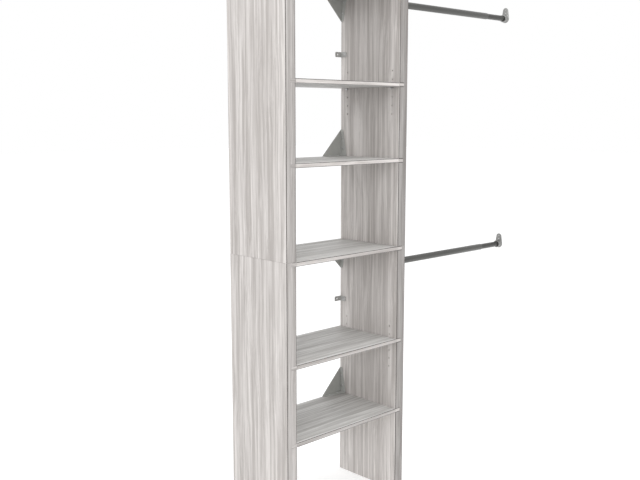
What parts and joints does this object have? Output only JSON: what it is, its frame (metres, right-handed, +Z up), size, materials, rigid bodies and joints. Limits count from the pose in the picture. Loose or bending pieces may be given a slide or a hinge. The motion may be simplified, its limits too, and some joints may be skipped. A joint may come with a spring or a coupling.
{
  "type": "wall mounted closet system",
  "caption": "Tall open shelf tower of stacked modules for fixing to a wall, with loose shelves on pins, corner gussets, and telescoping hanging rods that reach to a side wall.",
  "frame": {"origin": "on the floor, under the middle of the whole object's box, rods included", "axes": "+Z up, +Y towards the back wall, +X along the hanging rods to the side wall"},
  "size_m": [1.315, 0.305, 1.95],
  "materials": {
    "laminate": "pale grey-white wood grain laminate, satin",
    "gusset_steel": "mid grey powder coat",
    "bracket_steel": "mid grey powder coat",
    "rod_metal": "dark satin nickel",
    "socket_metal": "dark satin nickel",
    "fastener_zinc": "bright zinc",
    "dowel_beech": "raw beech"
  },
  "bodies": {
    "tower": {"lower_left_side_panel": "laminate", "lower_right_side_panel": "laminate", "lower_bottom_shelf": "laminate", "lower_top_shelf": "laminate", "lower_bottom_left_gusset": "gusset_steel", "lower_bottom_right_gusset": "gusset_steel", "lower_top_left_gusset": "gusset_steel", "lower_top_right_gusset": "gusset_steel", "lower_left_wall_bracket": "bracket_steel", "lower_right_wall_bracket": "bracket_steel", "lower_left_front_shelf_pin": "fastener_zinc", "lower_left_rear_shelf_pin": "fastener_zinc", "lower_right_front_shelf_pin": "fastener_zinc", "lower_right_rear_shelf_pin": "fastener_zinc", "lower_bottom_left_front_cam_fitting": "fastener_zinc", "lower_bottom_left_rear_cam_fitting": "fastener_zinc", "lower_bottom_right_front_cam_fitting": "fastener_zinc", "lower_bottom_right_rear_cam_fitting": "fastener_zinc", "lower_top_left_front_cam_fitting": "fastener_zinc", "lower_top_left_rear_cam_fitting": "fastener_zinc", "lower_top_right_front_cam_fitting": "fastener_zinc", "lower_top_right_rear_cam_fitting": "fastener_zinc", "lower_rod_tower_bracket": "socket_metal", "lower_rod_outer_tube": "rod_metal", "upper_left_side_panel": "laminate", "upper_right_side_panel": "laminate", "upper_bottom_shelf": "laminate", "upper_top_shelf": "laminate", "upper_bottom_left_gusset": "gusset_steel", "upper_bottom_right_gusset": "gusset_steel", "upper_top_left_gusset": "gusset_steel", "upper_top_right_gusset": "gusset_steel", "upper_left_wall_bracket": "bracket_steel", "upper_right_wall_bracket": "bracket_steel", "upper_left_front_shelf_pin": "fastener_zinc", "upper_left_rear_shelf_pin": "fastener_zinc", "upper_right_front_shelf_pin": "fastener_zinc", "upper_right_rear_shelf_pin": "fastener_zinc", "upper_bottom_left_front_cam_fitting": "fastener_zinc", "upper_bottom_left_rear_cam_fitting": "fastener_zinc", "upper_bottom_right_front_cam_fitting": "fastener_zinc", "upper_bottom_right_rear_cam_fitting": "fastener_zinc", "upper_top_left_front_cam_fitting": "fastener_zinc", "upper_top_left_rear_cam_fitting": "fastener_zinc", "upper_top_right_front_cam_fitting": "fastener_zinc", "upper_top_right_rear_cam_fitting": "fastener_zinc", "upper_rod_tower_bracket": "socket_metal", "upper_rod_outer_tube": "rod_metal", "left_front_stacking_dowel": "dowel_beech", "left_rear_stacking_dowel": "dowel_beech", "right_front_stacking_dowel": "dowel_beech", "right_rear_stacking_dowel": "dowel_beech"},
    "lower_rod_arm": {"lower_rod_inner_tube": "rod_metal", "lower_rod_wall_bracket": "socket_metal"},
    "lower_loose_shelf": {"lower_middle_shelf": "laminate"},
    "upper_rod_arm": {"upper_rod_inner_tube": "rod_metal", "upper_rod_wall_bracket": "socket_metal"},
    "upper_loose_shelf": {"upper_middle_shelf": "laminate"}
  },
  "joints": [
    {"name": "lower_rod_slide", "type": "slide", "parent": "tower", "child": "lower_rod_arm", "axis": [1, 0, 0], "range_m": [-0.115, 0.31]},
    {"name": "lower_shelf_lift", "type": "slide", "parent": "tower", "child": "lower_loose_shelf", "axis": [0, 0, 1], "range_m": [0, 0.064]},
    {"name": "upper_rod_slide", "type": "slide", "parent": "tower", "child": "upper_rod_arm", "axis": [1, 0, 0], "range_m": [-0.115, 0.31]},
    {"name": "upper_shelf_lift", "type": "slide", "parent": "tower", "child": "upper_loose_shelf", "axis": [0, 0, 1], "range_m": [0, 0.064]}
  ]
}
